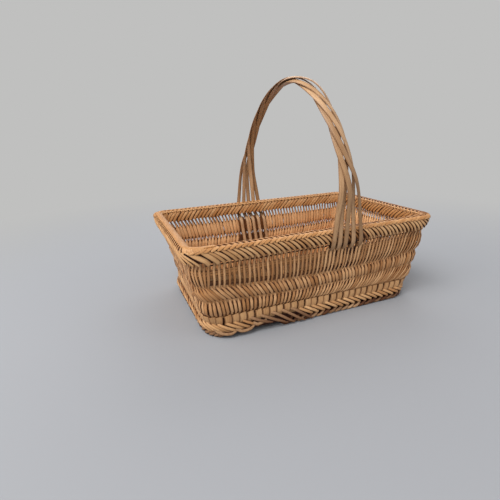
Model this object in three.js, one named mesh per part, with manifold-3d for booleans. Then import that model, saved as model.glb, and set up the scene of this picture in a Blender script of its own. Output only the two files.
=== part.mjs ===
// Wicker gathering basket: woven splint walls on a rolled foot, a slanted rim border and a splint handle.
// Millimetres, +Z up. The origin is on the ground under the middle, +X runs along it and +Y to its back.
import * as THREE from 'three';
import Module from 'manifold-3d';

const wasm = await Module();
wasm.setup();
const mix = THREE.MathUtils.lerp;

// Outer sizes
const rimLength = 400;
const rimWidth = 248;
const rimHeight = 138;
const rimCorner = 24;
const footLength = 352;
const footWidth = 225;
const footCorner = 42;
const footShift = 3;
const handleHeight = 344;

// Gap that neighbouring pieces keep, and the wider one where they stand against a lapped border
const clearance = 0.3;
const borderClearance = 0.7;

// Rim border of slats that lie over each other and lean along the rim
const rimDepth = 20;
const rimThickness = 13;
const rimShoulder = 3.5;
const rimSlatPitch = 11;
const rimSlatLean = 16;
const rimSlatStep = 1.2;
const rimSlatGap = 1.6;

// Rolled foot border of strands that lie over each other, nearly level
const footHeight = 20;
const footThickness = 11;
const footBelly = 1.2;
const footLedge = 9;
const footStrandPitch = 15;
const footStrandLean = 34;
const footStrandStep = 1.4;
const footStrandGap = 2.8;

// Wide splints that turn up out of the foot, each split into two stakes
const splintPitch = 17;
const splintThickness = 1.8;
const splintTop = 36;
const splintSlit = 1.2;
const splintRail = 3.5;
const stakeWidth = 3.8;
const stakeThickness = 1.2;
const stakeRoot = 0.5;

// Three weaver rods that the stakes pass in front of and behind by turns
const weaverThickness = 4;
const weaverHeight = 9;
const weaverClearance = 0.6;
const rowSag = 9;
const openRow = 11;

// Woven base, whose splints share the room inside the foot
const splintsAlongBase = 6;
const splintsAcrossBase = 9;
const baseSplintGap = 9;
const baseSplintThickness = 1.6;
const baseHeight = 5;
const baseMargin = 1;

// Handle of flat splints that are turned once round each other over the top
const handleSplintWidth = 7.5;
const handleSplintThickness = 1.8;
const handleFrontX = 30;
const handleBackX = -17;
const handleFootSpread = 28;
const handleSpringSpread = 13;
const handleTopSpread = 8;
const handleLayers = 3.4;
const handleSpring = 190;
const handleGather = 0.35;
const handleGrip = 4;
const handleFullness = 1.85;
const handleTurns = 1;

// Fineness of the facets
const cornerSteps = 5;
const sagSteps = 5;
const archSteps = 24;

const strawColour = '#c69a68';
const stakeColour = '#b48a5c';
const rimColour = '#d2a671';
const footColour = '#bd9263';
const weaverColour = '#a87c50';
const baseColour = '#c08f5e';
const handleColour = '#a98459';

const basket = new THREE.Group();
basket.name = 'wicker_gathering_basket';

const stretchNames = [
  'front', 'front_right', 'right', 'back_right', 'back', 'back_left', 'left', 'front_left',
];
const upward = new THREE.Vector3(0, 0, 1);
const isCorner = (stretch) => stretch % 2 === 1;
const isLongSide = (stretch) => stretch % 4 === 0;
const rimBottom = rimHeight - rimDepth;

function addPiece(name, geometry, colour, roughness) {
  const finished = geometry.index ? geometry.toNonIndexed() : geometry;
  finished.computeVertexNormals();
  const material = new THREE.MeshStandardMaterial({ color: colour, roughness, metalness: 0 });
  const mesh = new THREE.Mesh(finished, material);
  mesh.name = name;
  basket.add(mesh);
}

// Signed volume of an indexed shell, positive where its faces point out
function shellVolume(positions, triangles) {
  const corner = (index) => new THREE.Vector3().fromArray(positions, 3 * index);
  let volume = 0;
  for (let t = 0; t < triangles.length; t += 3) {
    const [a, b, c] = [0, 1, 2].map((offset) => corner(triangles[t + offset]));
    volume += a.dot(b.cross(c)) / 6;
  }
  return volume;
}

// Closed solid skinned over a row of sections with equally many points, capped unless it closes in a ring
function loft(sections, isRing = false) {
  const count = sections[0].length;
  const positions = sections.flat().flatMap((point) => point.toArray());
  const triangles = [];
  const spans = isRing ? sections.length : sections.length - 1;
  for (let span = 0; span < spans; span += 1) {
    const near = span * count;
    const far = ((span + 1) % sections.length) * count;
    for (let p = 0; p < count; p += 1) {
      const q = (p + 1) % count;
      triangles.push(near + p, near + q, far + q, near + p, far + q, far + p);
    }
  }
  const last = (sections.length - 1) * count;
  for (let p = 1; !isRing && p < count - 1; p += 1) {
    triangles.push(0, p + 1, p, last, last + p, last + p + 1);
  }
  if (shellVolume(positions, triangles) < 0) {
    triangles.reverse();
  }
  const geometry = new THREE.BufferGeometry();
  geometry.setAttribute('position', new THREE.Float32BufferAttribute(positions, 3));
  geometry.setIndex(triangles);
  return geometry;
}

function toSolid(geometry) {
  const vertProperties = geometry.attributes.position.array;
  const triVerts = Uint32Array.from(geometry.index.array);
  return new wasm.Manifold(new wasm.Mesh({ numProp: 3, vertProperties, triVerts }));
}

function toGeometry(solid) {
  const { vertProperties, triVerts } = solid.getMesh();
  const geometry = new THREE.BufferGeometry();
  geometry.setAttribute('position', new THREE.BufferAttribute(vertProperties, 3));
  geometry.setIndex(new THREE.BufferAttribute(triVerts, 1));
  return geometry;
}

// Middle surface of the wall at one height: a rounded rectangle that grows from the foot to the rim.
// The foot stands a little off the middle of the rim along the basket.
function wallPlan(height) {
  const rise = height / (rimHeight - rimShoulder);
  return {
    middle: mix(footShift, 0, rise),
    halfLength: mix(footLength - footThickness, rimLength - rimThickness, rise) / 2,
    halfWidth: mix(footWidth - footThickness, rimWidth - rimThickness, rise) / 2,
    corner: mix(footCorner - footThickness / 2, rimCorner - rimThickness / 2, rise),
  };
}

// Lengths of the four sides and four corners at one height, anticlockwise from the front side
function stretchLengths(plan) {
  const long = 2 * (plan.halfLength - plan.corner);
  const short = 2 * (plan.halfWidth - plan.corner);
  const arc = (plan.corner * Math.PI) / 2;
  return [long, arc, short, arc, long, arc, short, arc];
}

// Point on the wall at a share of one stretch, moved along the wall and outward from its middle surface
function wallPoint(height, stretch, share, along, outward) {
  const plan = wallPlan(height);
  const lengths = stretchLengths(plan);
  let index = stretch;
  let distance = share * lengths[index] + along;
  while (distance > lengths[index]) {
    distance -= lengths[index];
    index = (index + 1) % lengths.length;
  }
  while (distance < 0) {
    index = (index + lengths.length - 1) % lengths.length;
    distance += lengths[index];
  }
  const quarter = Math.floor(index / 2);
  const [half, depth] = quarter % 2 === 0
    ? [plan.halfLength, plan.halfWidth]
    : [plan.halfWidth, plan.halfLength];
  const point = new THREE.Vector3(distance - (half - plan.corner), -(depth + outward), height);
  if (isCorner(index)) {
    const angle = distance / plan.corner;
    const radius = plan.corner + outward;
    point.x = half - plan.corner + radius * Math.sin(angle);
    point.y = -(depth - plan.corner) - radius * Math.cos(angle);
  }
  point.applyAxisAngle(upward, (quarter * Math.PI) / 2);
  point.x += plan.middle;
  return point;
}

// Flat section of a splint that stands in the wall
function splintSection(height, stretch, share, outward, width, thickness) {
  const [w, t] = [width / 2, thickness / 2];
  return [[-w, -t], [w, -t], [w, t], [-w, t]].map(([along, out]) => (
    wallPoint(height, stretch, share, along, outward + out)
  ));
}

// Border round one stretch: lapped strips, each rising to its far edge and dropping to the next strip.
// The outline lists [outward, height, lap], where lap says which way a point moves under the next strip.
function lappedBorder(stretch, outline, pitch, gap, step, lean, topHeight, depth) {
  const count = Math.max(1, Math.round(stretchLengths(wallPlan(topHeight))[stretch] / pitch));
  const sections = [];
  for (let strip = 0; strip < count; strip += 1) {
    for (const [end, inset, drop] of [[0, gap / 2, step], [1, -gap / 2, 0]]) {
      sections.push(outline.map(([outward, height, lap]) => {
        const along = inset + (lean * (topHeight - height)) / depth;
        return wallPoint(height, stretch, (strip + end) / count, along, outward - lap * drop);
      }));
    }
  }
  return loft(sections);
}

function rimBorder(stretch) {
  const half = rimThickness / 2;
  const shoulder = rimHeight - rimShoulder;
  const flat = half - rimShoulder;
  const outline = [
    [half, rimBottom, 1],
    [half, shoulder, 1],
    [flat, rimHeight, 0],
    [-flat, rimHeight, 0],
    [-half, shoulder, -1],
    [-half, rimBottom, -1],
  ];
  return lappedBorder(
    stretch, outline, rimSlatPitch, rimSlatGap, rimSlatStep, rimSlatLean, rimHeight, rimDepth,
  );
}

function footBorder(stretch) {
  const half = footThickness / 2;
  const outline = [
    [half - footBelly, footHeight, 1],
    [half, footHeight / 2, 1],
    [half - footBelly, 0, 1],
    [-half, 0, 0],
    [-half, footLedge, 0],
  ];
  return lappedBorder(
    stretch, outline, footStrandPitch, footStrandGap, footStrandStep, footStrandLean, footHeight, footHeight,
  );
}

// The foot's top slopes from its ledge up to its outer edge, and the wide splints stand on that slope
function footSlopeHeight(outward) {
  const half = footThickness / 2;
  return mix(footLedge, footHeight, (outward + half) / (2 * half - footBelly));
}
const splintBottom = footSlopeHeight(splintThickness / 2 + footStrandStep) + borderClearance;

// Heights of the three weaver rows, which sag along the two long sides, the upper row the most
const rows = ['lower', 'middle', 'upper'];
const rowRise = (rimBottom - openRow - splintTop) / rows.length;
const rowSagStep = rowSag / rows.length;
function rowHeight(row, stretch, share) {
  const sag = isLongSide(stretch) ? rowSagStep * (row + 1) * (1 - (2 * share - 1) ** 2) : 0;
  return splintTop + rowRise * (row + 0.5) - sag;
}

// How far the stakes swing out and in to clear the weavers, at a weaver's middle and at its shoulders
const weaverShoulder = {
  out: (weaverThickness / 2) * Math.cos(Math.PI / 3),
  up: (weaverHeight / 2) * Math.sin(Math.PI / 3),
};
const steepestSwing = Math.max(2 / (rowRise - rowSagStep), 1 / (rowRise / 2 - rowSagStep + stakeRoot));
const stakeSeat = weaverClearance + stakeThickness / 2;
const stakeSwing = Math.max(
  weaverThickness / 2 + stakeSeat,
  (weaverShoulder.out + stakeSeat) / (1 - weaverShoulder.up * steepestSwing),
);

// Sideways place of each handle splint at its feet, from its angle in the turned bundle
const handleAngles = [0.05, 0.25, 0.45, 0.65, 0.85].map((turn) => turn * 2 * Math.PI);
const handleFeet = {
  front: handleAngles.map((angle) => handleFrontX + handleFootSpread * Math.cos(angle)),
  back: handleAngles.map((angle) => handleBackX + handleFootSpread * Math.cos(angle)),
};

// A stake stops below the open row where a handle splint passes through the wall beside it
function isShortStake(stretch, share) {
  if (!isLongSide(stretch)) {
    return false;
  }
  const { x } = wallPoint(rimBottom - openRow / 2, stretch, share, 0, 0);
  const reach = (stakeWidth + handleSplintWidth) / 2 + clearance;
  return handleFeet[stretchNames[stretch]].some((foot) => Math.abs(foot - x) < reach);
}

function stake(stretch, share, side) {
  const knots = [[splintTop - stakeRoot, 0]];
  rows.forEach((_, row) => {
    knots.push([rowHeight(row, stretch, share), row % 2 === 0 ? side * stakeSwing : -side * stakeSwing]);
  });
  const [upperHeight, upperSwing] = knots.at(-1);
  const tip = rimBottom - clearance;
  if (isShortStake(stretch, share)) {
    const shortTip = rimBottom - openRow;
    knots.push([shortTip, upperSwing * ((tip - shortTip) / (tip - upperHeight))]);
  } else {
    knots.push([tip, 0]);
  }
  return loft(knots.map(([height, outward]) => (
    splintSection(height, stretch, share, outward, stakeWidth, stakeThickness)
  )));
}

// The wide splints of one stretch, slit from the top down to the rail that the foot hides, with their stakes
function stakePanel(stretch) {
  const middle = stretchLengths(wallPlan((splintTop + rimBottom) / 2))[stretch];
  const splints = Math.max(1, Math.round(middle / splintPitch));
  const stakeShares = Array.from({ length: 2 * splints }, (_, index) => (index + 0.5) / (2 * splints));
  const stripShares = [0, ...(isCorner(stretch) ? stakeShares : []), 1];
  const half = splintThickness / 2;
  const strip = stripShares.map((share) => {
    const inset = (share === 0 ? splintSlit / 2 : 0) - (share === 1 ? splintSlit / 2 : 0);
    return [[splintBottom, -half], [splintBottom, half], [splintTop, half], [splintTop, -half]].map(
      ([height, outward]) => wallPoint(height, stretch, share, inset, outward),
    );
  });
  let panel = toSolid(loft(strip));
  for (let slit = 1; slit < splints; slit += 1) {
    const cut = [splintBottom + splintRail, splintTop + splintRail].map((height) => (
      splintSection(height, stretch, slit / splints, 0, splintSlit, 2 * splintThickness)
    ));
    panel = panel.subtract(toSolid(loft(cut)));
  }
  stakeShares.forEach((share, index) => {
    panel = panel.add(toSolid(stake(stretch, share, index % 2 === 0 ? 1 : -1)));
  });
  return toGeometry(panel);
}

// One weaver rod, a closed ring inside the wall between the stakes
function weaver(row) {
  const sections = [];
  stretchNames.forEach((_, stretch) => {
    const steps = isCorner(stretch) ? cornerSteps : isLongSide(stretch) ? sagSteps : 1;
    for (let step = 0; step < steps; step += 1) {
      const share = step / steps;
      const middle = rowHeight(row, stretch, share);
      sections.push([0, 1, 2, 3, 4, 5].map((side) => {
        const angle = (side * Math.PI) / 3;
        const height = middle + (weaverHeight / 2) * Math.sin(angle);
        return wallPoint(height, stretch, share, 0, (weaverThickness / 2) * Math.cos(angle));
      }));
    }
  });
  return loft(sections, true);
}

// Room inside the foot for the base, half of each way, with its corner radius
const baseSwing = (baseSplintThickness + clearance) / 2;
const baseTop = baseHeight + baseSwing + baseSplintThickness / 2;
const basePlan = wallPlan(2 * baseHeight - baseTop);
const footInside = {
  length: basePlan.halfLength - footThickness / 2 - baseMargin,
  width: basePlan.halfWidth - footThickness / 2 - baseMargin,
  corner: basePlan.corner - footThickness / 2 - baseMargin,
};

// How far a base splint reaches before it meets the foot, beside the rounded corners
function baseReach(alongHalf, acrossHalf, edge) {
  const past = edge - (acrossHalf - footInside.corner);
  if (past <= 0) {
    return alongHalf;
  }
  const kept = Math.sqrt(Math.max(0, footInside.corner ** 2 - past ** 2));
  return alongHalf - footInside.corner + kept;
}

// Even row of splints across the base, with their common width
function baseRow(half, count) {
  const pitch = (2 * half + baseSplintGap) / count;
  const places = Array.from({ length: count }, (_, index) => (index - (count - 1) / 2) * pitch);
  return { places, width: pitch - baseSplintGap };
}
const lengthRow = baseRow(footInside.width, splintsAlongBase);
const crossRow = baseRow(footInside.length, splintsAcrossBase);

// A base splint passes over and under the splints that cross it, flat where it meets each of them
function baseSplint(index, row, crossed, alongHalf, acrossHalf, isLengthwise) {
  const place = row.places[index];
  const reach = baseReach(alongHalf, acrossHalf, Math.abs(place) + row.width / 2);
  const flat = crossed.width / 2 + clearance;
  const parity = index + (isLengthwise ? 0 : 1);
  const met = crossed.places.map((at, order) => {
    const level = (order + parity) % 2 === 0 ? baseSwing : -baseSwing;
    return { at, level };
  });
  const steps = met.slice(1)
    .map(({ at, level }, order) => [[met[order].at + flat, met[order].level], [at - flat, level]])
    .filter(([from, to]) => from[0] > -reach && to[0] < reach)
    .flat();
  const knots = [[-reach, steps[0][1]], ...steps, [reach, steps.at(-1)[1]]];
  const [w, t] = [row.width / 2, baseSplintThickness / 2];
  return loft(knots.map(([along, level]) => [[-w, -t], [w, -t], [w, t], [-w, t]].map(([side, up]) => {
    const height = baseHeight + level + up;
    return isLengthwise
      ? new THREE.Vector3(basePlan.middle + along, place + side, height)
      : new THREE.Vector3(basePlan.middle + place + side, along, height);
  })));
}

// Middle line of the handle, from inside the front wall over the top to inside the back wall.
// Each station has its place, the way its flat side faces and how far the splints spread and turn.
function handleStations() {
  const half = handleSplintThickness / 2;
  const inner = -(stakeSwing + stakeThickness / 2 + clearance + half);
  const outer = rimThickness / 2 + borderClearance + half;
  const legY = rimWidth / 2 + borderClearance + half;
  const tailBottom = Math.max(baseTop, footSlopeHeight(inner + half)) + borderClearance;
  const passBottom = rimBottom - openRow + handleSplintThickness;
  const passTop = rimBottom - handleSplintThickness - borderClearance;
  const wallY = (height, outward) => wallPlan(height).halfWidth + outward;
  const slope = Math.atan2(wallY(passTop, outer) - wallY(passBottom, inner), passTop - passBottom);
  const foot = { spread: handleFootSpread, layers: 0, turn: 0 };
  const leg = [
    { y: wallY(tailBottom, inner), z: tailBottom, tilt: 0, ...foot },
    { y: wallY(passBottom, inner), z: passBottom, tilt: -slope / 2, ...foot },
    { y: wallY(passTop, outer), z: passTop, tilt: -slope / 2, ...foot },
    { y: legY, z: rimHeight, tilt: 0, ...foot },
    {
      y: legY,
      z: mix(rimHeight, handleSpring, handleGather),
      tilt: 0,
      spread: mix(handleFootSpread, handleSpringSpread, handleGather),
      layers: handleLayers,
      turn: 0,
    },
  ];
  const rise = handleHeight - handleSpring - handleLayers - half;
  const arch = Array.from({ length: archSteps + 1 }, (_, step) => {
    const share = step / archSteps;
    const [cosine, sine] = [-Math.cos(share * Math.PI), Math.sin(share * Math.PI)];
    const across = Math.sign(cosine) * Math.abs(cosine) ** (2 / handleFullness);
    const climb = sine ** (2 / handleFullness);
    const lean = Math.sign(cosine) * Math.abs(across) ** (handleFullness - 1);
    return {
      y: legY * across,
      z: handleSpring + rise * climb,
      tilt: Math.atan2(climb ** (handleFullness - 1) / rise, lean / legY),
      spread: mix(handleSpringSpread, handleTopSpread, 1 - (1 - climb) ** handleGrip),
      layers: handleLayers,
      turn: share * handleTurns * 2 * Math.PI,
      centre: mix(handleFrontX, handleBackX, (1 + across) / 2),
    };
  });
  const turned = handleTurns * 2 * Math.PI;
  const front = leg.map((at) => ({ ...at, y: -at.y, tilt: Math.PI - at.tilt, centre: handleFrontX }));
  const back = leg.map((at) => ({ ...at, turn: turned, centre: handleBackX })).reverse();
  return [...front, ...arch, ...back];
}

function handleSplint(startAngle) {
  const [w, t] = [handleSplintWidth / 2, handleSplintThickness / 2];
  return loft(handleStations().map(({ y, z, tilt, spread, layers, turn, centre }) => {
    const angle = startAngle + turn;
    const x = centre + spread * Math.cos(angle);
    const layer = layers * Math.sin(angle);
    return [[-w, -t], [w, -t], [w, t], [-w, t]].map(([side, up]) => new THREE.Vector3(
      x + side,
      y + (layer + up) * Math.cos(tilt),
      z + (layer + up) * Math.sin(tilt),
    ));
  }));
}

stretchNames.forEach((name, stretch) => {
  addPiece(`${name}_foot_border`, footBorder(stretch), footColour, 0.7);
  addPiece(`${name}_stakes`, stakePanel(stretch), stakeColour, 0.65);
  addPiece(`${name}_rim_border`, rimBorder(stretch), rimColour, 0.6);
});
rows.forEach((name, row) => {
  addPiece(`${name}_weaver`, weaver(row), weaverColour, 0.7);
});
lengthRow.places.forEach((_, index) => {
  const splint = baseSplint(index, lengthRow, crossRow, footInside.length, footInside.width, true);
  addPiece(`base_length_splint_${index + 1}`, splint, baseColour, 0.7);
});
crossRow.places.forEach((_, index) => {
  const splint = baseSplint(index, crossRow, lengthRow, footInside.width, footInside.length, false);
  addPiece(`base_cross_splint_${index + 1}`, splint, strawColour, 0.7);
});
handleAngles.forEach((angle, index) => {
  addPiece(`handle_splint_${index + 1}`, handleSplint(angle), handleColour, 0.6);
});

export default basket;
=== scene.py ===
import math

import bmesh
import bpy
import numpy as np
from mathutils import Matrix, Vector


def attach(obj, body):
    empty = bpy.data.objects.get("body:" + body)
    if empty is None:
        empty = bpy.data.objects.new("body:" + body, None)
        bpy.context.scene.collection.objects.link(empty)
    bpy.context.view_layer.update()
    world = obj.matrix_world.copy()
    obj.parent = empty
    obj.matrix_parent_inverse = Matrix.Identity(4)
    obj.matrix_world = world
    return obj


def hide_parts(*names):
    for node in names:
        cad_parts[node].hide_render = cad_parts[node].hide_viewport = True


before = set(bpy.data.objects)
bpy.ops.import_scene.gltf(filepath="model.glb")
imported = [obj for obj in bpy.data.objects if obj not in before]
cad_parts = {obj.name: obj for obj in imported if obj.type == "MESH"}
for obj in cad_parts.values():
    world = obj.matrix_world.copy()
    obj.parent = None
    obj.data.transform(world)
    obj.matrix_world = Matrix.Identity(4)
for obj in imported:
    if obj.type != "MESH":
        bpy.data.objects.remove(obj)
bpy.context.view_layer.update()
scene = bpy.context.scene
scene.view_settings.view_transform = "Standard"
print("frame loaded:", len(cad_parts), "nodes")

sides = ["front", "front_right", "right", "back_right", "back", "back_left", "left", "front_left"]
mm = 0.001
upwards = np.array([0.0, 0, 1])
chance = np.random.default_rng(31)  # every uneven strip of the weave is drawn from here


# Wall of the basket: a flared oblong, walked anticlockwise from the front left corner

wallForm = {  # mm
    "rimLength": 400, "rimWidth": 248, "rimHeight": 134.5, "rimCorner": 24, "rimThickness": 13,
    "footLength": 352, "footWidth": 225, "footCorner": 42, "footThickness": 11, "footShift": 3,
    "roundUntil": 18, "sharpFrom": 38, "stationCorner": 18,
}


def wallSizes(height):
    rise = height / wallForm["rimHeight"]
    def flared(low, high):
        return low + (high - low) * rise
    footThick, rimThick = wallForm["footThickness"], wallForm["rimThickness"]
    halfLength = flared(wallForm["footLength"] - footThick, wallForm["rimLength"] - rimThick) / 2
    halfWidth = flared(wallForm["footWidth"] - footThick, wallForm["rimWidth"] - rimThick) / 2
    footCorner = wallForm["footCorner"] - footThick / 2
    rimCorner = wallForm["rimCorner"] - rimThick / 2
    corner = np.interp(height, [0, wallForm["roundUntil"], wallForm["sharpFrom"], wallForm["rimHeight"]],
                       [footCorner, footCorner - 3, rimCorner + 2, rimCorner])  # sharper above the foot
    return halfLength, halfWidth, corner, flared(wallForm["footShift"], 0)


def stretchLengths(height):
    halfLength, halfWidth, corner, _ = wallSizes(height)
    longSide, shortSide = 2 * (halfLength - corner), 2 * (halfWidth - corner)
    bend = corner * math.pi / 2
    return np.stack([longSide, bend, shortSide, bend] * 2)


def stationLengths(height):
    # what each side and corner takes of the stations, which keep their place although the corners get sharper
    lengths, early = stretchLengths(height), wallSizes(height)[2] - wallForm["stationCorner"]
    return lengths + early * np.array([2, -2] * 4).reshape(8, *(1,) * early.ndim), early


def wallPoint(height, station, along=0, outward=0):
    # station 0 to 8 counts the four sides and four corners, along and outward are mm from there
    height, station, along, outward = np.broadcast_arrays(
        *(np.asarray(value, float) for value in (height, station, along, outward)))
    halfLength, halfWidth, corner, middle = wallSizes(height)
    lengths = stretchLengths(height)
    starts = np.cumsum(lengths, 0) - lengths
    shares, early = stationLengths(height)
    shareStarts = np.cumsum(shares, 0) - shares
    def pick(rows, index):
        return np.take_along_axis(rows, index[None], 0)[0]
    stretch = np.floor(station).astype(int) % 8
    share = station - np.floor(station)
    distance = pick(shareStarts, stretch) + share * pick(shares, stretch) - early + along
    distance = np.mod(distance, lengths.sum(0))
    index = np.clip((starts <= distance).sum(0) - 1, 0, 7)
    distance = distance - pick(starts, index)
    quarter, bending = index // 2, index % 2 == 1
    half = np.where(quarter % 2 == 0, halfLength, halfWidth) - corner
    depth = np.where(quarter % 2 == 0, halfWidth, halfLength) - corner
    angle = np.where(bending, distance / corner, 0)
    reach = corner + outward
    x = np.where(bending, half, distance - half) + reach * np.sin(angle)
    y = -depth - reach * np.cos(angle)
    turn = quarter * math.pi / 2
    cosine, sine = np.cos(turn), np.sin(turn)
    point = np.stack([x * cosine - y * sine + middle, x * sine + y * cosine, height], -1)
    facing = angle + turn - math.pi / 2
    return point, np.stack([np.cos(facing), np.sin(facing), 0 * facing], -1)


def aroundStations(pitch, height, start=0.0, squeeze=0.0):
    # stations spaced evenly on each side and corner, closing up towards the right along the front
    found = []
    for stretch, length in enumerate(stationLengths(np.array(height))[0]):
        crowded = 1.3 if stretch % 2 else 1  # closer at the corners, where they fan out
        count = max(1, round(float(length) / pitch * crowded))
        share = (np.arange(count) + start) / count
        found.append(stretch + share + (squeeze if stretch == 0 else 0) * share * (1 - share))
    return np.concatenate(found)


def ringStations():
    steps = [26, 7, 14, 7] * 2  # rows of a ring on each side and corner
    found = [stretch + np.arange(count) / count for stretch, count in enumerate(steps)]
    return np.concatenate(found + [[8.0]])


# Splints: a straight strip is cut once and then bent along each path

splint = {"wornEdge": 0.3, "ground": 0.05, "sharpAngle": 55}  # share of the section, mm, degrees


def cutStrip(rows, edges="face", joined=False, seamShading=1):
    # x runs across from -0.5 to 0.5, y along in whole rows, z through the thickness
    bm = bmesh.new()
    bmesh.ops.create_cube(bm, size=1)
    bmesh.ops.scale(bm, vec=(1, rows, 1), verts=bm.verts)
    bmesh.ops.translate(bm, vec=(0, rows / 2, 0), verts=bm.verts)
    lengthways = [e for e in bm.edges if abs(e.verts[0].co.y - e.verts[1].co.y) > 0.5]
    bmesh.ops.subdivide_edges(bm, edges=lengthways, cuts=rows - 1, use_grid_fill=True)
    if joined:
        ends = [f for f in bm.faces if abs(f.normal.y) > 0.9]
        bmesh.ops.delete(bm, geom=ends, context="FACES")
    worn = []
    for e in bm.edges:
        a, b = e.verts[0].co, e.verts[1].co
        outermost = abs(a.y - b.y) > 0.5 and abs(a.x) > 0.4 and abs(a.z) > 0.4
        if outermost and (edges != "face" or a.z > 0):
            worn.append(e)
    bmesh.ops.bevel(bm, geom=worn, offset=splint["wornEdge"], offset_type="OFFSET",
                    segments=2 if edges == "round" else 1, profile=0.5, affect="EDGES", material=-1,
                    clamp_overlap=True)
    bmesh.ops.recalc_face_normals(bm, faces=bm.faces)
    mesh = bpy.data.meshes.new("splint")
    bm.to_mesh(mesh)
    bm.free()
    mesh.uv_layers.new(name="grain")
    mesh.attributes.new("strip", "FLOAT", "POINT")
    edge = mesh.attributes.new("edge", "FLOAT", "POINT")
    flat = np.empty(len(mesh.vertices) * 3)
    mesh.vertices.foreach_get("co", flat)
    corners = np.empty(len(mesh.loops), dtype=np.int32)
    mesh.loops.foreach_get("vertex_index", corners)
    x, y, z = flat.reshape(-1, 3).T
    # edge: nearness to a splint's edge, which sets the painted shade in its seams
    edge.data.foreach_set("value", seamShading * np.abs(2 * x))
    return {"mesh": mesh, "x": x, "row": np.rint(y).astype(int), "z": z, "corners": corners, "joined": joined}


def unit(rows):
    return rows / np.maximum(np.linalg.norm(rows, axis=-1, keepdims=True), 1e-9)


def tilted(outwards, degrees):
    # faces straight out at 0 degrees and straight up at 90
    turn = np.radians(np.reshape(degrees, (-1, 1)))
    return outwards * np.cos(turn) + upwards * np.sin(turn)


def bendStrip(bm, strip, path, facing, width, thickness, shade, roll=0, seamShading=None):
    # path and facing have one row for each row of the strip; sizes in mm
    count = len(path)
    if strip["joined"]:
        travel = unit(np.roll(path[:-1], -1, 0) - np.roll(path[:-1], 1, 0))
        travel = np.vstack([travel, travel[:1]])
    else:
        travel = unit(np.gradient(path, axis=0))
    across = unit(np.cross(travel, facing))
    above = np.cross(across, travel)
    roll = np.broadcast_to(np.asarray(roll, float), count)[:, None]
    across, above = (across * np.cos(roll) + above * np.sin(roll),
                     above * np.cos(roll) - across * np.sin(roll))
    width = np.broadcast_to(np.asarray(width, float), count)
    thickness = np.broadcast_to(np.asarray(thickness, float), count)
    row, corners = strip["row"], strip["corners"]
    place = path[row] + across[row] * (strip["x"] * width[row])[:, None]
    place = place + above[row] * (strip["z"] * thickness[row])[:, None]
    place[:, 2] = np.maximum(place[:, 2], splint["ground"])  # pressed flat where it lies on the ground
    travelled = np.concatenate([[0], np.cumsum(np.linalg.norm(np.diff(path, axis=0), axis=1))])
    grain = np.stack([strip["x"] * width[row], travelled[row]], -1)[corners]
    mesh = strip["mesh"]
    mesh.vertices.foreach_set("co", (place * mm).ravel())
    mesh.uv_layers["grain"].data.foreach_set("uv", (grain * mm).ravel())
    shade = np.broadcast_to(np.asarray(shade, float), count)
    mesh.attributes["strip"].data.foreach_set("value", shade[row])
    if seamShading is not None:
        mesh.attributes["edge"].data.foreach_set("value", seamShading[row] * np.abs(2 * strip["x"]))
    bm.from_mesh(mesh)


def setPiece(name, bm, material, nodes):
    bmesh.ops.remove_doubles(bm, verts=bm.verts, dist=1e-7)
    mesh = bpy.data.meshes.new(name)
    bm.to_mesh(mesh)
    bm.free()
    mesh.materials.append(material)
    mesh.shade_smooth()
    mesh.set_sharp_from_angle(angle=math.radians(splint["sharpAngle"]))
    piece = bpy.data.objects.new(name, mesh)
    scene.collection.objects.link(piece)
    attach(piece, "root")
    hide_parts(*nodes)
    print("made", name, len(mesh.polygons), "faces")


# Finishes: peeled and split willow, with fibres along each splint, sap marks and painted shade in the seams

def colour(hexText):
    channels = [int(hexText[place:place + 2], 16) / 255 for place in (1, 3, 5)]
    return [c / 12.92 if c <= 0.04045 else ((c + 0.055) / 1.055) ** 2.4 for c in channels] + [1]


def addNode(tree, kind, inputs=None, **settings):
    made = tree.nodes.new(kind)
    for key, value in settings.items():
        setattr(made, key, value)
    for key, value in (inputs or {}).items():
        if isinstance(value, bpy.types.NodeSocket):
            tree.links.new(value, made.inputs[key])
        else:
            made.inputs[key].default_value = value
    return made


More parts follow.
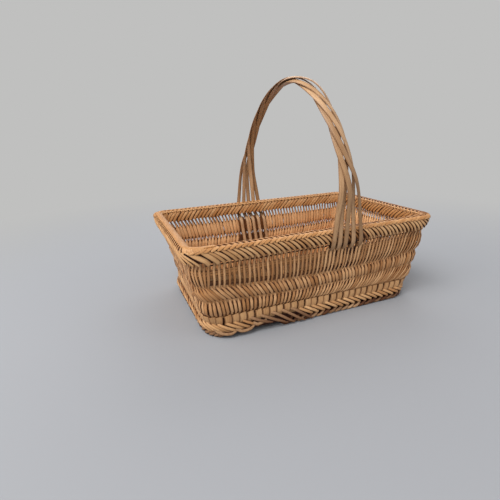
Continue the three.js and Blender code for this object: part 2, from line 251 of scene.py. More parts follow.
def wicker(name, tones):
    material = bpy.data.materials.new(name)
    material.use_nodes = True
    tree = material.node_tree
    tree.nodes.clear()
    strip = addNode(tree, "ShaderNodeAttribute", attribute_name="strip").outputs["Fac"]
    edge = addNode(tree, "ShaderNodeAttribute", attribute_name="edge").outputs["Fac"]
    grainMap = addNode(tree, "ShaderNodeUVMap", uv_map="grain").outputs["UV"]
    seed = addNode(tree, "ShaderNodeMath", {0: strip, 1: 91}, operation="MULTIPLY").outputs[0]
    def lengthwise(acrossMm, alongMm, detail):
        scale = (1000 / acrossMm, 1000 / alongMm, 1)
        scaled = addNode(tree, "ShaderNodeMapping", {"Vector": grainMap, "Scale": scale}).outputs[0]
        settings = {"Vector": scaled, "W": seed, "Scale": 1, "Detail": detail}
        return addNode(tree, "ShaderNodeTexNoise", settings, noise_dimensions="4D").outputs[0]
    fibre = lengthwise(tones["fibre"], 18, 3)  # fine streaks of the split wood
    patch = lengthwise(9, 26, 2)  # slow change of tone along a splint
    stain = lengthwise(5, 7, 4)  # sap marks and handling
    tone = addNode(tree, "ShaderNodeMix", {0: strip, 6: colour(tones["dark"]), 7: colour(tones["pale"])},
                   data_type="RGBA").outputs[2]
    layers = (  # what a layer follows, the values where it starts and is full, its strength, its colour
        (patch, 0.35, 0.72, 0.55, "warm", "MIX"), (fibre, 0.7, 0.3, 0.5, "line", "MULTIPLY"),
        # the last layer is painted shade in the seams, darkest at each splint's edges
        (stain, 0.6, 0.8, tones["stain"], "mark", "MIX"), (edge, 0.62, 1, tones["seamShadeStrength"], "seam", "MIX"))
    for value, none, full, strength, shade, way in layers:
        amount = addNode(tree, "ShaderNodeMapRange", {0: value, 1: none, 2: full, 3: 0, 4: strength})
        tone = addNode(tree, "ShaderNodeMix", {0: amount.outputs[0], 6: tone, 7: colour(tones[shade])},
                       data_type="RGBA", blend_type=way).outputs[2]
    rough = addNode(tree, "ShaderNodeMapRange", {0: fibre, 1: 0.3, 2: 0.7, 3: tones["rough"] + 0.1,
                                                 4: tones["rough"]}).outputs[0]
    raised = addNode(tree, "ShaderNodeBump", {"Strength": 0.35, "Distance": 0.0004, "Height": fibre})
    surface = addNode(tree, "ShaderNodeBsdfPrincipled", {
        "Base Color": tone, "Roughness": rough, "Specular IOR Level": 0.3, "Normal": raised.outputs[0]})
    addNode(tree, "ShaderNodeOutputMaterial", {"Surface": surface.outputs[0]})
    return material


rimWicker = wicker("peeled_rim_splint", {  # the palest splints, rubbed smooth
    "dark": "#AE7C48", "pale": "#E2B884", "warm": "#CA9660", "line": "#AE7E4A", "mark": "#80562E",
    "stain": 0.45, "fibre": 0.7, "rough": 0.45, "seamShadeStrength": 0.8, "seam": "#5A2E14"})
stakeWicker = wicker("split_wall_stake", {  # thin stakes, a little browner
    "dark": "#A67240", "pale": "#E9BB88", "warm": "#CE9862", "line": "#A87646", "mark": "#744A28",
    "stain": 0.6, "fibre": 0.6, "rough": 0.5, "seamShadeStrength": 0.7, "seam": "#5A2E14"})
rodWicker = wicker("shaded_weaver_rod", {  # rods inside the weave, painted dark for the shade in the weave
    "dark": "#3E1A08", "pale": "#B88450", "warm": "#4E2610", "line": "#946C46", "mark": "#3A2210",
    "stain": 0.6, "fibre": 0.8, "rough": 0.6, "seamShadeStrength": 0.5, "seam": "#5A2E14"})
footWicker = wicker("rolled_foot_strand", {  # foot strands, grey from the ground
    "dark": "#B07F4E", "pale": "#E4B884", "warm": "#C6935E", "line": "#A8784A", "mark": "#6E4628",
    "stain": 0.6, "fibre": 0.7, "rough": 0.5, "seamShadeStrength": 0.8, "seam": "#5A2E14"})
footEndWicker = wicker("rolled_under_end_painted_shade", {  # ends under the foot, their dark tone painted shade under the foot
    "dark": "#5A3218", "pale": "#DDB284", "warm": "#7A4C2A", "line": "#946C46", "mark": "#4A2A14",
    "stain": 0.6, "fibre": 0.7, "rough": 0.55, "seamShadeStrength": 0.8, "seam": "#4A2410"})
baseWicker = wicker("flat_base_splint", {  # wide splints of the floor inside
    "dark": "#AA7848", "pale": "#D0A06C", "warm": "#B98552", "line": "#AC7E4E", "mark": "#744A2A",
    "stain": 0.6, "fibre": 0.9, "rough": 0.55, "seamShadeStrength": 0.6, "seam": "#5A2E14"})
handleWicker = wicker("handled_grip_splint", {  # flat handle splints, darkened by hands
    "dark": "#9C7650", "pale": "#CEA880", "warm": "#B08A62", "line": "#96744E", "mark": "#664628",
    "stain": 0.7, "fibre": 0.8, "rough": 0.42, "seamShadeStrength": 0.5, "seam": "#5A2E14"})
print("finishes ready")


# Rim border: slats folded over a core like a chevron, with smooth splints along the top

rim = {"pitch": 7.5, "squeeze": 0.08, "level": 128, "slatWidth": 3.5, "cornerSlatWidth": 4.6,
       "splaySlatWidth": 6.8, "innerSlatWidth": 5.2, "endInnerWidth": 4.4, "slatThickness": 1.7, "lap": 14,
       "uneven": 0.4, "handleX": 30, "handleReach": 30, "broadFromX": 60, "coreWidth": 13,
       "coreThickness": 10.5, "topWidth": 2.4, "topThickness": 1.6, "beadWidth": 4.8, "innerBeadWidth": 2.7,
       "beadThickness": 1.3, "endWidth": 4.6, "tieWidth": 2, "tieThickness": 1}
rimNodes = [f"{side}_rim_border" for side in sides]
innerFold = np.array([  # outward, height, angle that the slat faces, shift along the rim
    [-6.2, 118.6, 180, 15.5], [-7.1, 122.5, 180, 13], [-7.3, 127.5, 178, 8.4], [-6.9, 131.8, 165, 4],
    [-5.4, 134.6, 140, 1]])
outerFold = np.array([
    [4.6, 135, 55, -4], [6.2, 134.2, 34, -2.2], [7, 132.8, 14, 0], [7.6, 130, 2, 4], [7.8, 126.5, 0, 8.2],
    [7.6, 122.5, -2, 12.2], [7, 119, -5, 14.8], [6.4, 116.8, -9, 15.8]])
outerBead = np.array([
    [2.2, 136, 100, 9.4], [3, 137, 88, 7.2], [4.1, 137.4, 74, 4.6], [5.3, 137.1, 56, 1.8],
    [6.5, 136.2, 38, -1.2], [7.5, 134.8, 18, -3.8], [8, 133.6, 4, -5.8]])
innerBead = np.array([
    [3, 136, 70, 6.6], [1, 136.8, 80, 5], [-1.6, 137.4, 95, 3], [-4, 137.7, 108, 1],
    [-5.8, 137, 130, -1], [-7.1, 135, 160, -3], [-7.2, 132.8, 180, -4.6]])
tieFold = np.array([[2.6, 139.2, 80, -0.8], [5, 138.2, 58, 0], [7, 136, 34, 0.6], [7.9, 133.6, 12, 1.2]])
beadTaper = np.array([0.8, 1, 1, 1, 1, 0.8, 0.4])
slatTaper = np.array([0.55, 0.6, 0.72, 0.9, 1, 1, 1, 1])
cornerTuck = np.array([[-0.5, 0.4], [-1.2, 1.2], [-2, 2.4], [-2.6, 3.4]])  # of a slat's lower four rows


def foldOver(bm, strip, fold, station, width, thickness, shade, shift=(0, 0), roll=0):
    outward, height, angle, along = fold.T
    lean = np.linspace(shift[0], -shift[0], len(fold))
    point, outwards = wallPoint(height + lean, station, along + shift[1], outward)
    bendStrip(bm, strip, point, tilted(outwards, angle), width, thickness, shade, roll)


def onLeftEnd(station):
    return 6.05 < station < 7.75  # the top of that end is covered by smooth splints


def onRightEnd(station):
    return 1.4 < station < 3.6


def onFrontLeftCorner(station):
    return station > 7.3 or station < 0.02


innerStrip = cutStrip(len(innerFold) - 1)
slatStrip = cutStrip(len(outerFold) - 1)
# for the slats behind the handle: more painted seam shade, for the handle's shadow
handleShadowStrip = cutStrip(len(outerFold) - 1, seamShading=1.8)
beadStrip, darkBeadStrip, innerBeadStrip = (
    cutStrip(len(outerBead) - 1, seamShading=seamShading) for seamShading in (0.78, 1.5, 1.1))
slats, beads = bmesh.new(), bmesh.new()
for station in aroundStations(rim["pitch"], rim["level"], 0, rim["squeeze"]):
    nearCorner = max(0, 1 - abs((station + 0.8) % 8 - 0.8) / 0.8)  # broader round the front left corner
    width = rim["slatWidth"] + (rim["cornerSlatWidth"] - rim["slatWidth"]) * nearCorner
    width = width + chance.normal(0, 0.2)
    shift = chance.normal(0, rim["uneven"], 2)
    lap = math.radians(rim["lap"] + chance.normal(0, 3))
    x = wallPoint(rim["level"], station)[0][0]
    behindHandle = station < 1 and abs(x - rim["handleX"]) < rim["handleReach"]
    # painted shadow of the handle: the slats behind it are darker
    shade = chance.random() + 0.1 - (1.1 if behindHandle else 0)
    if station < 1 and x > rim["broadFromX"]:
        width, shade = width + 0.9, shade + 0.35
    splayed = onFrontLeftCorner(station)
    if splayed:
        width = rim["splaySlatWidth"]
    fold = outerFold.copy()
    pastCorner = (station - 1) * (350 if station < 1 else 28)  # mm
    fold[4:, :2] += max(0, 1 - abs(pastCorner - 2) / 20) * cornerTuck  # drawn in round the front right corner
    if onLeftEnd(station):
        fold[:2, :2] = [[6.6, 134.4], [7, 133.8]]  # these start below the dark groove
    if not (splayed and round(5 * station) % 2):  # fewer, broader slats stand apart on the front left corner
        foldOver(slats, handleShadowStrip if behindHandle else slatStrip, fold, station, width * slatTaper,
                 rim["slatThickness"], shade, shift, lap)
    shaded = onRightEnd(station)
    width = rim["endInnerWidth"] if shaded else rim["innerSlatWidth"]
    shade = 0.8 * chance.random() - (0.6 if shaded else 0.1)
    foldOver(slats, innerStrip, innerFold, station, width, rim["slatThickness"], shade, shift)
    if onLeftEnd(station):
        continue
    for fold, strip, width, lean in ((outerBead, beadStrip, rim["beadWidth"], -10),
                                     (innerBead, innerBeadStrip, rim["innerBeadWidth"], 8)):
        width = width * (1.3 if shaded else 1) * beadTaper
        shade = 0.5 * chance.random() - (0.3 if shaded else 0.1)
        shift = chance.normal(0, 0.25, 2)
        foldOver(beads, darkBeadStrip if shaded else strip, fold, station, width, rim["beadThickness"], shade,
                 shift, math.radians(lean))
setPiece("rim_slats", slats, rimWicker, rimNodes)
setPiece("rim_beads", beads, rimWicker, rimNodes)

around = ringStations()
ringStrip = cutStrip(len(around) - 1, "round", joined=True)
endStations = np.linspace(5.75, 8.05, 41)  # the left end, from corner to corner
endStrip = cutStrip(len(endStations) - 1, seamShading=0.7)
tieStrip = cutStrip(len(tieFold) - 1, seamShading=0.7)


def alongEnd(bm, outward, height, tilt, width, thickness, shade):
    # a splint along the top of the left end, its ends tucked under
    tucked = 1.4 * np.clip(np.abs(endStations - 6.9) - 0.85, 0, 1)
    point, outwards = wallPoint(height - tucked, endStations, 0, outward)
    bendStrip(bm, endStrip, point, tilted(outwards, tilt), width, thickness, shade)


bm = bmesh.new()
# the core and an inner ring, painted dark for the shade seen between the slats
for height, outward, width, thickness in ((124.6, 0, rim["coreWidth"], rim["coreThickness"]),
                                          (134.4, -4.4, 4.4, 1)):
    point, outwards = wallPoint(height, around, 0, outward)
    bendStrip(bm, ringStrip, point, outwards, width, thickness, 0)
grooveWidth = np.interp(endStations, [5.8, 6, 7.2, 7.5], [0.6, 5, 5, 0.6])
alongEnd(bm, 5.4, 136.4, 45, grooveWidth, 0.8, 0)  # a dark strip painted as the shade of the groove beside the smooth splints
setPiece("rim_core", bm, rodWicker, rimNodes)

bm = bmesh.new()
point, outwards = wallPoint(136.2, around, 0, -6)
bendStrip(bm, ringStrip, point, upwards - outwards, rim["topWidth"], rim["topThickness"], 0.6)
for outward, height, tilt, shade in ((-5, 137.3, 116, 0.05), (-2, 138.9, 100, 0.15), (1.2, 139.2, 86, 0.1)):
    alongEnd(bm, outward, height, tilt, rim["endWidth"], rim["topThickness"], shade)
for station in aroundStations(rim["pitch"], rim["level"]):
    if 5.95 < station or station < 0.02:
        broad = onFrontLeftCorner(station)  # broad ones close that corner
        foldOver(bm, tieStrip, tieFold, station, rim["splaySlatWidth"] if broad else rim["tieWidth"],
                 rim["tieThickness"], 0.1 + 0.4 * chance.random())
setPiece("rim_top_splints", bm, rimWicker, rimNodes)


# Wall: two sets of thin stakes that change places, outside and inside, at each row of the weave

wall = {"pitch": 6.25, "squeeze": 0.07, "level": 75, "wide": 4.4, "middle": 5.2, "thin": 3.4, "inner": 6.5,
        "waist": 3, "openWaist": 2, "thickness": 1.3, "swingOut": 3.5, "swingIn": 2.4, "gather": 0.35,
        "lowRidge": 34.5, "rowTop": 108, "rimReach": 121, "handleReach": 110, "rodWidth": 3.4}
stakeNodes = [f"{side}_stakes" for side in sides]
weaverNodes = ["lower_weaver", "middle_weaver", "upper_weaver"]
handleFeet = {"front": [57.5, 30.5, 10, 20.5, 44], "back": [9, -14, -38, -26, -3]}  # x of the five splints


def looped(station, left, right):
    # runs from left to right along the front, and back again round the rest of the basket
    station = np.mod(station, 8)
    return np.where(station < 1, left + (right - left) * station, right + (left - right) * (station - 1) / 7)


def sagging(station, front, back):
    share = np.mod(station, 1)
    dip = 1 - (2 * share - 1) ** 2
    stretch = np.floor(np.mod(station, 8))
    return dip * np.where(stretch == 0, front, np.where(stretch == 4, back, 0))


def ridges(station):
    # heights at which the stakes change places, at the front's left and right, less the rows' sag
    low = looped(station, wall["lowRidge"], 30)
    middle = looped(station, 59.5, 56.5) - sagging(station, 6.5, 2)
    high = looped(station, 81.5, 79.5) - sagging(station, 10, 3)
    return low, middle, high


def drift(station):
    # how far the stakes have moved along the wall by the low, the middle and the high ridge
    leftCorner = np.clip(1 - np.abs(np.mod(station + 4, 8) - 4) / 0.3, 0, 1)
    return looped(station, 12, -25), looped(station, 12, -5), looped(station, 0, -5) - 5 * leftCorner


def drawnIn(station, height):
    # the wall leans in round the back left corner
    near = np.clip(1 - np.abs(np.mod(station, 8) - 6) / 1.3, 0, 1)
    near = near * near * (3 - 2 * near)
    return near, 5 * near * np.interp(height, [14, 32, 60, 82, 112, 122], [0, 1, 1, 0.5, 0.3, 0])


def underHandle(station):
    point, _ = wallPoint(wall["handleReach"], station)
    side = {0: "front", 4: "back"}.get(int(station))
    return side is not None and min(abs(point[0] - x) for x in handleFeet[side]) < 5.5


rowShares = np.array([0, 0.3, 0.7])
stakeStrip = cutStrip(14, "both")
bm = bmesh.new()
for outside, start in ((True, 0.25), (False, 0.75)):  # the set's side of the wall under the rim
    for number, station in enumerate(aroundStations(wall["pitch"], wall["level"], start, wall["squeeze"])):
        low, middle, high = (float(value) for value in ridges(station))
        lowShift, middleShift, highShift = (float(value) for value in drift(station))
        byHandle = underHandle(station)
        top, end = wall["rowTop"], wall["handleReach"] if byHandle else wall["rimReach"]
        height = np.concatenate([
            [low - 7], low + (middle - low) * rowShares, middle + (high - middle) * rowShares,
            high + (top - high) * np.array([0, 0.25, 0.5, 0.8]),
            top + (end - top) * np.array([0, 0.35, 0.7, 1])])
        shift = np.interp(height, [low, middle, high, top, end], [lowShift, middleShift, highShift, 0, 3])
        gather = wall["pitch"] / 2 * (wall["gather"] if outside else -wall["gather"])
        shift = shift + np.interp(height, [top - 2, top + 4], [0, gather])
        rise, fall = wall["swingOut"], -wall["swingIn"]
        if not outside:
            rise, fall = fall, rise
        fuller = 1 + 0.3 * max(0, 1 - abs(station - 1.5) / 2)  # the right end bulges under the rim
        swing = np.array([-1.6, -0.8, rise * 0.95, rise * 0.9, 0.3, fall * 0.9, fall, 0.3,
                          rise * 0.85 * fuller, rise * fuller, rise * 0.85 * fuller,
                          0.55 * rise, 0.4 * rise, 0.2 * rise, 0])
        if byHandle and station > 4:
            swing = np.maximum(swing, 0.2)  # the handle's tails take their place inside the back wall
        lowLean = math.cos(math.atan((middleShift - lowShift) / (middle - low)))
        middleLean = math.cos(math.atan((highShift - middleShift) / (high - middle)))
        lowWide = (wall["wide"] if outside else wall["inner"]) * lowLean
        middleWide = (wall["inner"] if outside else wall["middle"]) * middleLean
        upper = wall["thin"] if outside else wall["inner"]
        waist = wall["waist"]
        ridge = waist if station < 1 else wall["openWaist"]  # light comes through at the upper ridge
        width = np.array([4.4, 3.6, lowWide, lowWide, waist, middleWide, middleWide, ridge,
                          0.95 * upper, upper, upper, waist, 2.7, 2.6, 2.6])
        covering = outside and byHandle and station < 1  # over the ends of the handle's splints
        if covering:
            width[8:] = [3.2, 4, 4.6, 5, 5, 4.8, 4.4] if number % 2 else [2.8, 3.4, 3.8, 4, 4, 3.8, 3.4]
            swing[10:] = rise
        paler = np.where(swing < -0.9, 0.7, 0)  # painted light: paler where the stake lies inside the basket, which is brighter lit
        uneven = chance.normal(0, 0.28, 3)
        slim, inwards = drawnIn(station, height)
        point, outwards = wallPoint(height, station, shift + uneven[0] + uneven[1] * np.sin(height / 9),
                                    swing * (1 + 0.3 * uneven[2]) * (1 - 0.4 * slim) - inwards)
        shade = chance.random() + paler + (0.5 if covering else 0)
        tailShadowed = (byHandle and station > 4) * (swing < 1)  # painted shadow: darkened inside, behind the handle's tails
        bendStrip(bm, stakeStrip, point, outwards, width * (1 + 0.1 * uneven[2]), wall["thickness"],
                  np.where(tailShadowed, 0, shade), math.radians(chance.normal(0, 4)), np.where(tailShadowed, 2.2, 1))
setPiece("wall_stakes", bm, stakeWicker, stakeNodes)

bm = bmesh.new()
low, middle, high = ridges(around)
level = 0 * high
rodShares = np.linspace(0.2, 0.8, 6)
rodRows = [(low + (middle - low) * share, 0.1, 0.7) for share in rodShares]  # height, shade, outward
rodRows += [(low + 2, 0.3, -0.6)]
rodRows += [(middle + (high - middle) * share, 0.15, 0.7) for share in rodShares]
rodRows += [(high + 5, 0.2, 0.7), (high + 8, 0.3, 1)]
rodRows += [(level + 97.2, 0.8, 1.6), (level + 100.6, 1, 1.9), (level + 104, 0.9, 1.6)]
for height, shade, outward in rodRows:
    shade = np.where(np.abs(around - 0.6) < 0.09, 0, shade)  # painted shade under the front of the handle
    point, outwards = wallPoint(height, around, 0, outward - drawnIn(around, height)[1])
    point[-1] = point[0]
    bendStrip(bm, ringStrip, point, outwards, wall["rodWidth"], 0.7 * wall["rodWidth"], shade)
for first, last, height, outward, width in (  # dark strips painted as shade in the front's open row, and behind the handle there
        (0, 1, 111.4, -3.2, 1.8), (0, 1, 115, -3.4, 1.8), (0.53, 0.668, 113.5, -1.2, 11)):
    spots = np.linspace(first, last, 27)
    point, outwards = wallPoint(height, spots, 0, outward)
    bendStrip(bm, cutStrip(len(spots) - 1, "round"), point, outwards, width, 1.4, 0)
setPiece("weaver_rods", bm, rodWicker, weaverNodes)


# Foot border: wide splints that turn into slanting strands and roll under

foot = {"pitch": 11.4, "level": 28, "splintWidth": 10.5, "splintThickness": 1.3, "strandWidth": 4.2,
        "strandThickness": 1.8, "strandLap": 10, "looseWidth": 4.4, "loopWidth": 4.8, "lumpWidth": 4.4,
        "lumpThickness": 3, "coreWidth": 12, "coreThickness": 5, "liningWidth": 9, "liningThickness": 1.6}
footNodes = [f"{side}_foot_border" for side in sides]
splintPath = np.array([  # along, height, outward
    [0, 35.5, 1.6], [0, 31, 2.4], [-0.5, 27, 2.6], [-1.5, 23, 2.2], [-3, 19, 0.6]])
strandPath = np.array([
    [-5, 24, 1.2], [-2, 22.4, 3.4], [2, 20.2, 4.9], [6.5, 17.6, 5.6], [11, 14.8, 5.6], [15, 12, 4.8],
    [18, 9.8, 3], [20, 8.2, 0.8]])
lumpPath = np.array([
    [8, 9.4, 0.6], [4, 7, 3.4], [-0.5, 4.4, 4.6], [-4.5, 2.6, 3.8], [-7, 2, 1], [-8, 2, -1.5]])
splintStrip, strandStrip = cutStrip(len(splintPath) - 1), cutStrip(len(strandPath) - 1)
lumpStrip = cutStrip(len(lumpPath) - 1, "round")
splintPiece, strandPiece, lumpPiece = bmesh.new(), bmesh.new(), bmesh.new()
for station in aroundStations(foot["pitch"], foot["level"]):
    low = float(ridges(station)[0]) - wall["lowRidge"]
    uneven = chance.normal(0, 0.5, 4)
    along, height, outward = splintPath.T
    point, outwards = wallPoint(height + low, station, along + uneven[0],
                                outward - drawnIn(station, height)[1])
    bendStrip(splintPiece, splintStrip, point, outwards, foot["splintWidth"] + 0.3 * uneven[1],
              foot["splintThickness"], 0.4 + 0.5 * chance.random(), math.radians(3 + 2 * uneven[2]))
    along, height, outward = strandPath.T
    lift = low * np.interp(height, [8, 26], [0.2, 1]) + 0.5 * uneven[1]
    if not 0.12 < station < 0.37:  # loose strands hang there instead
        point, outwards = wallPoint(height + lift, station, along + uneven[2],
                                    outward + 0.4 * uneven[3] - drawnIn(station, height)[1])
        bendStrip(strandPiece, strandStrip, point, outwards, foot["strandWidth"] + 0.3 * uneven[3],
                  foot["strandThickness"], chance.random(), math.radians(foot["strandLap"]))
    if not 0.02 < station < 0.3:  # and the rolled ends have sprung open
        along, height, outward = lumpPath.T
        point, outwards = wallPoint(height + 0.3 * uneven[3], station, along + uneven[0],
                                    outward + 0.4 * uneven[1])
        # painted shade: most rolled ends are dark, for the shade under the foot
        bendStrip(lumpPiece, lumpStrip, point, outwards, foot["lumpWidth"] + 0.5 * uneven[2],
                  foot["lumpThickness"], chance.random() ** 4)
looseStrands = [  # x, height and outward of strands that hang out of the front border
    [(-112, 25, 2), (-105, 22, 5.5), (-97, 18, 6.6), (-88, 14.5, 7), (-79, 11.5, 7)],
    [(-97, 25, 2), (-90, 22.5, 5.5), (-80, 17.5, 7), (-68, 11.5, 7.6), (-55, 5.5, 7.6)],
    [(-80, 26, 2), (-73, 23.5, 5.5), (-63, 17, 7.2), (-54, 10.5, 8), (-44, 4, 8.2)],
    [(-64, 26, 2), (-57, 23, 5.5), (-47, 16, 7.2), (-37, 9, 8), (-26, 2.6, 8.4)],
    [(-48, 25, 2), (-41, 22, 5.5), (-32, 15.5, 7), (-23, 9, 7.6), (-13, 3, 7.8)]]
loops = [  # and of ends that have sprung back in a loop
    [(-163, 18, 4.5), (-157, 11, 6.2), (-147.5, 7.4, 6.8), (-138, 7.6, 6.8), (-131, 13, 5)],
    [(-134, 14, 5), (-128, 9, 6.4), (-119, 7.6, 6.8), (-110.5, 10, 6.4), (-105, 15, 5)],
    [(-108, 17, 5), (-102, 13.4, 6.2), (-94, 15, 6.4), (-88, 18, 5)]]
for number, spots in enumerate(looseStrands + loops):
    spots, looping = np.array(spots, float), number >= len(looseStrands)
    smooth = np.linspace(0, len(spots) - 1, len(strandPath))
    x, height, outward = (np.interp(smooth, range(len(spots)), column) for column in spots.T)
    halfLength, _, _, middle = wallSizes(height)
    point, outwards = wallPoint(height, 0, x - middle + halfLength - wallForm["stationCorner"], outward)
    taper = np.interp(smooth, [0, len(spots) - 2, len(spots) - 1], [1, 0.9, 0.6 if looping else 0.45])
    width = foot["loopWidth"] if looping else foot["looseWidth"]
    shade = 0.5 + 0.3 * chance.random() - (0.1 if looping else 0.5) * smooth / smooth[-1]  # painted shade, darker towards the tip
    bendStrip(lumpPiece, strandStrip, point, outwards, width * taper, foot["strandThickness"] * taper, shade,
              math.radians(foot["strandLap"]))
setPiece("foot_wide_splints", splintPiece, footWicker, stakeNodes)
setPiece("foot_strands", strandPiece, footWicker, footNodes)
setPiece("foot_rolled_ends", lumpPiece, footEndWicker, footNodes)
bm = bmesh.new()
# the core and linings, painted dark for the shade between the strands
for height, width, thickness, outward in (
        (11, foot["coreWidth"], foot["coreThickness"], -1.6),
        (20.5, foot["liningWidth"], foot["liningThickness"], -0.6),
        (29.5, foot["liningWidth"], foot["liningThickness"], -0.6)):
    point, outwards = wallPoint(height, around, 0, outward - drawnIn(around, 0 * around + height)[1])
    bendStrip(bm, ringStrip, point, outwards, width, thickness, 0)
setPiece("foot_core", bm, rodWicker, footNodes)


# Inside the foot: the base's splints turn up and run behind the stakes

turned = {"pitch": 11.4, "level": 28, "width": 11, "thickness": 1.2}
turnPath = np.array([  # height, outward, angle that the splint's back faces
    [37, -3.5, 0], [33, -3.6, 0], [27, -4, 0], [18, -5, 0], [10.5, -5.8, -15], [7.6, -7.8, -55],
    [6.9, -12, -85]])
turnStrip = cutStrip(len(turnPath) - 1, "both")
height, outward, angle = turnPath.T
bm = bmesh.new()
for station in aroundStations(turned["pitch"], turned["level"], 0.5):
    point, outwards = wallPoint(height, station, chance.normal(0, 0.4),
                                outward - 0.6 * drawnIn(station, height)[1])
    bendStrip(bm, turnStrip, point, tilted(outwards, angle), turned["width"], turned["thickness"],
              0.3 + 0.7 * chance.random(), math.radians(chance.normal(2, 2)))
setPiece("inner_turned_splints", bm, stakeWicker, stakeNodes)


# Base: a close plain weave of flat splints

base = {"lengthways": 17, "crossways": 27, "gap": 1, "thickness": 1.1, "height": 5, "lift": 0.75,
        "halfLength": 167, "halfWidth": 103, "corner": 36}
lengthNodes = [f"base_length_splint_{number}" for number in range(1, 7)]
crossNodes = [f"base_cross_splint_{number}" for number in range(1, 10)]


def baseReach(place, half, otherHalf):
    # how far a splint at this place runs before it meets the rounded corner
    inside = max(0, abs(place) - (half - base["corner"]))
    return otherHalf - base["corner"] + math.sqrt(max(0, base["corner"] ** 2 - inside ** 2))


crossPitch = 2 * base["halfLength"] / base["crossways"]
lengthPitch = 2 * base["halfWidth"] / base["lengthways"]
crossPlaces = -base["halfLength"] + crossPitch * (np.arange(base["crossways"]) + 0.5)
lengthPlaces = -base["halfWidth"] + lengthPitch * (np.arange(base["lengthways"]) + 0.5)
for lengthways in (True, False):
    name, nodes, places, crossings = "base_length_splints", lengthNodes, lengthPlaces, crossPlaces
    half, otherHalf = base["halfWidth"], base["halfLength"]
    if not lengthways:
        name, nodes, places, crossings = "base_cross_splints", crossNodes, crossPlaces, lengthPlaces
        half, otherHalf = otherHalf, half
    baseStrip = cutStrip(2 * len(crossings), "both")
    pitch = places[1] - places[0]
    bm = bmesh.new()
    for number, place in enumerate(places):
        reach = baseReach(place, half, otherHalf)
        spots = np.linspace(-reach, reach, 2 * len(crossings) + 1)
        phase = (spots - crossings[0]) / (crossings[1] - crossings[0])
        level = base["lift"] * np.cos(math.pi * (phase + number)) * (1 if lengthways else -1)
        rows = np.stack([spots, 0 * spots + place, base["height"] + level], -1)
        if not lengthways:
            rows = rows[:, [1, 0, 2]]
        rows[:, 0] += wallForm["footShift"]
        bendStrip(bm, baseStrip, rows, np.tile(upwards, (len(rows), 1)), pitch - base["gap"],
                  base["thickness"], chance.random())
    setPiece(name, bm, baseWicker, nodes)


# Handle: five flat splints loosely twisted together, tucked through the open row at each end

handle = {"splintWidth": 7.2, "tailWidth": 5.8, "splintThickness": 1.9, "frontX": 30, "backX": -17,
          "footSpread": 27, "frontSpread": 8.5, "backSpread": 5.5, "topSpread": 6.5, "layers": 3.4,
          "spring": 190, "top": 340, "gather": 0.35, "fullness": 1.85, "turns": 2, "stray": 4.5,
          "bottom": 20, "tuck": 105, "backRaise": 6, "rimLow": 113, "rimEdge": 138, "bundleFrom": 116,
          "frontBundling": 116, "backBundling": 124, "rows": 150}


def handleLine():
    tuckedIn, frontX = handle["tuck"] - 3, handle["frontX"]
    outside = wallPoint(127, 0.5, 0, 9.4)[0][1]
    rows = []  # y, z, middle x, spread, layer, turn, tilt of the outer face
    for height in np.linspace(handle["bottom"], tuckedIn, 8):
        inside = wallPoint(height, 0.5, 0, -5.4)[0][1]
        rows.append([inside, height, frontX, handle["footSpread"], 0, 0, math.pi])
    rows.append([outside + 2, handle["rimLow"] - 5, frontX, handle["footSpread"], 0, 0, math.pi])
    rows.append([outside, handle["rimLow"] + 3, frontX, handle["footSpread"], 0, 0, math.pi])
    rows.append([outside, handle["rimEdge"], frontX, handle["footSpread"], 0.3, 0, math.pi])
    rows.append([outside, 160, frontX, handle["frontSpread"], 0.7, 0.02, math.pi])
    back = []
    for y, z, _, spread, layer, turn, _ in rows:
        raised = np.interp(z, [80, tuckedIn, 116, 125], [0, handle["backRaise"], 3, 0])
        back.append([-y, z + raised, handle["backX"], spread, layer, handle["turns"] - turn, 0.0])
    radius = handle["top"] - handle["spring"]
    reach = abs(outside) + 1.5
    power = 2 / handle["fullness"]
    for share in np.linspace(0, 1, 33):
        angle = math.pi * (1 - share)
        flat, tall = math.cos(angle), math.sin(angle)
        y = math.copysign(abs(flat) ** power, flat) * reach
        z = handle["spring"] + radius * abs(tall) ** power
        springSpread = handle["frontSpread"] if y < 0 else handle["backSpread"]
        spread = handle["topSpread"] + (springSpread - handle["topSpread"]) * abs(flat) ** handle["gather"]
        middleX = frontX + (handle["backX"] - frontX) * share
        rows.append([y, z, middleX, spread, 1, handle["turns"] * share, angle])
    return np.array(rows + back[::-1])


line = handleLine()
travelled = np.concatenate([[0], np.cumsum(np.linalg.norm(np.diff(line[:, :2], axis=0), axis=1))])
evenly = np.linspace(0, travelled[-1], handle["rows"] + 1)
line = np.stack([np.interp(evenly, travelled, column) for column in line.T], -1)
for _ in range(2):  # rounds the bends where the splints tuck in
    line[1:-1] = (line[:-2] + 2 * line[1:-1] + line[2:]) / 4
y, z, middleX, spread, layer, turn, tilt = line.T
outer = np.stack([0 * tilt, np.cos(tilt), np.sin(tilt)], -1)
sideways = np.array([1.0, 0, 0])
spreading = np.minimum(spread, np.where(y < 0, handle["frontSpread"], handle["backSpread"]))
bundling = np.where(y < 0, handle["frontBundling"], handle["backBundling"])
gathered = np.clip((z - handle["bundleFrom"]) / bundling, 0, 1)
leaning = np.where(y > 0, 0.12, 0) * np.clip(112 - z, 0, 100)  # tails inside the back wall
width = np.interp(z, [104, 116], [handle["tailWidth"], handle["splintWidth"]])
paler = np.where((y > 0) & (z < handle["rimLow"]), 0.5, 0)  # paler where the tails lie inside the basket
handleStrip = cutStrip(handle["rows"], "both")
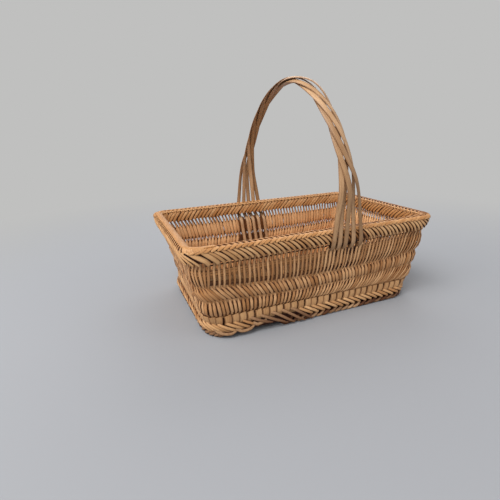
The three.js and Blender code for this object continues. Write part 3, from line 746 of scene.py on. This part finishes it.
for number in range(5):
    bm = bmesh.new()
    angle = 2 * math.pi * (turn + (number + 0.25) / 5)
    footX = np.where(y < 0, handleFeet["front"][number], handleFeet["back"][number])
    bundled = middleX + spreading * np.cos(angle)
    path = np.stack([footX + leaning + (bundled - footX) * gathered, y, z], -1)
    for _ in range(12):  # the splints leave the bundle in a slow curve
        path[1:-1, 0] = (path[:-2, 0] + 2 * path[1:-1, 0] + path[2:, 0]) / 4
    path = path + outer * (handle["layers"] * layer * np.sin(angle))[:, None]
    if number == 2:  # one splint springs out in front of the top
        share = np.linspace(0, 1, len(line))
        path = path + outer * (handle["stray"] * np.exp(-((share - 0.43) / 0.04) ** 2))[:, None]
    roll = 0.5 * layer * np.cos(angle)
    facing = outer * np.cos(roll)[:, None] + sideways * np.sin(roll)[:, None]
    bendStrip(bm, handleStrip, path, facing, width, handle["splintThickness"], 0.15 + 0.17 * number + paler)
    setPiece(f"handle_strand_{number + 1}", bm, handleWicker,
             [f"handle_splint_{number + 1}"])


# Studio: pale sweep, soft lights and the camera

studio = {"floor": "#8F9093", "backdrop": "#C0C0BF", "skyTone": "#F4F6FA", "sky": 0.6, "key": 109,
          "keySize": 2.1, "fill": 7, "frontFill": 7, "backFill": 8, "fillSize": 1.2,
          "fadeFrom": 0.35, "fadeTo": 1.1, "sensor": 36, "focalPixels": 364.56, "picturePixels": 500}


def seenDirectly(tree):
    # rays that show the backdrop itself, straight or in a gloss
    path = addNode(tree, "ShaderNodeLightPath").outputs
    gloss = addNode(tree, "ShaderNodeMath", {0: path["Is Glossy Ray"], 1: path["Is Transmission Ray"]},
                    operation="MAXIMUM").outputs[0]
    return addNode(tree, "ShaderNodeMath", {0: path["Is Camera Ray"], 1: gloss},
                   operation="MAXIMUM").outputs[0]


def paleFloor():
    bm = bmesh.new()
    bmesh.ops.create_circle(bm, cap_ends=True, segments=96, radius=7)
    mesh = bpy.data.meshes.new("pale_floor")
    bm.to_mesh(mesh)
    bm.free()
    floor = bpy.data.objects.new("pale_floor", mesh)
    scene.collection.objects.link(floor)
    material = bpy.data.materials.new("pale_studio_paper")
    material.use_nodes = True
    tree = material.node_tree
    tree.nodes.clear()
    paper = addNode(tree, "ShaderNodeBsdfPrincipled", {
        "Base Color": colour(studio["floor"]), "Roughness": 0.9})
    place = addNode(tree, "ShaderNodeTexCoord").outputs["Object"]
    distance = addNode(tree, "ShaderNodeVectorMath", {0: place}, operation="LENGTH").outputs["Value"]
    fade = addNode(tree, "ShaderNodeMapRange", {
        0: distance, 1: studio["fadeFrom"], 2: studio["fadeTo"], 3: 0, 4: 1}, interpolation_type="SMOOTHSTEP")
    fade = addNode(tree, "ShaderNodeMath", {0: fade.outputs[0], 1: seenDirectly(tree)}, operation="MULTIPLY")
    far = addNode(tree, "ShaderNodeEmission", {"Color": colour(studio["backdrop"])})
    shown = addNode(tree, "ShaderNodeMixShader", {0: fade.outputs[0], 1: paper.outputs[0], 2: far.outputs[0]})
    addNode(tree, "ShaderNodeOutputMaterial", {"Surface": shown.outputs[0]})
    mesh.materials.append(material)


def softLight(name, place, size, power, target=(0, 0, 0.12)):
    light = bpy.data.lights.new(name, "AREA")
    light.shape = "SQUARE"
    light.size = size
    light.energy = power
    lamp = bpy.data.objects.new(name, light)
    lamp.location = place
    lamp.rotation_euler = (Vector(place) - Vector(target)).to_track_quat("Z", "Y").to_euler()
    lamp.visible_camera = False
    scene.collection.objects.link(lamp)


paleFloor()
softLight("overhead_softbox", (-1.7, -0.85, 2.7), studio["keySize"], studio["key"])
softLight("left_fill", (-1.5, 0.1, 0.8), studio["fillSize"], studio["fill"])
softLight("right_front_fill", (1.3, -1.4, 1.0), studio["fillSize"], studio["frontFill"])
softLight("back_fill", (0.6, 1.0, 0.9), studio["fillSize"], studio["backFill"], (0.25, 0.45, 0))
world = bpy.data.worlds.new("studio_air")
world.use_nodes = True
air = world.node_tree
air.nodes.clear()
sky = addNode(air, "ShaderNodeBackground", {"Color": colour(studio["skyTone"]), "Strength": studio["sky"]})
backdrop = addNode(air, "ShaderNodeBackground", {"Color": colour(studio["backdrop"]), "Strength": 1})
shown = addNode(air, "ShaderNodeMixShader", {0: seenDirectly(air), 1: sky.outputs[0], 2: backdrop.outputs[0]})
addNode(air, "ShaderNodeOutputWorld", {"Surface": shown.outputs[0]})
scene.world = world

lens = bpy.data.cameras.new("studio_camera")
lens.sensor_fit = "HORIZONTAL"
lens.sensor_width = studio["sensor"]
lens.lens = studio["sensor"] * studio["focalPixels"] / studio["picturePixels"]
camera = bpy.data.objects.new("studio_camera", lens)
camera.matrix_world = Matrix((
    (0.9253, 0.1470, -0.3495, -0.2754), (-0.3781, 0.2893, -0.8794, -0.5297),
    (-0.0282, 0.9459, 0.3233, 0.2772), (0, 0, 0, 1)))
scene.collection.objects.link(camera)
scene.camera = camera
print("studio ready")
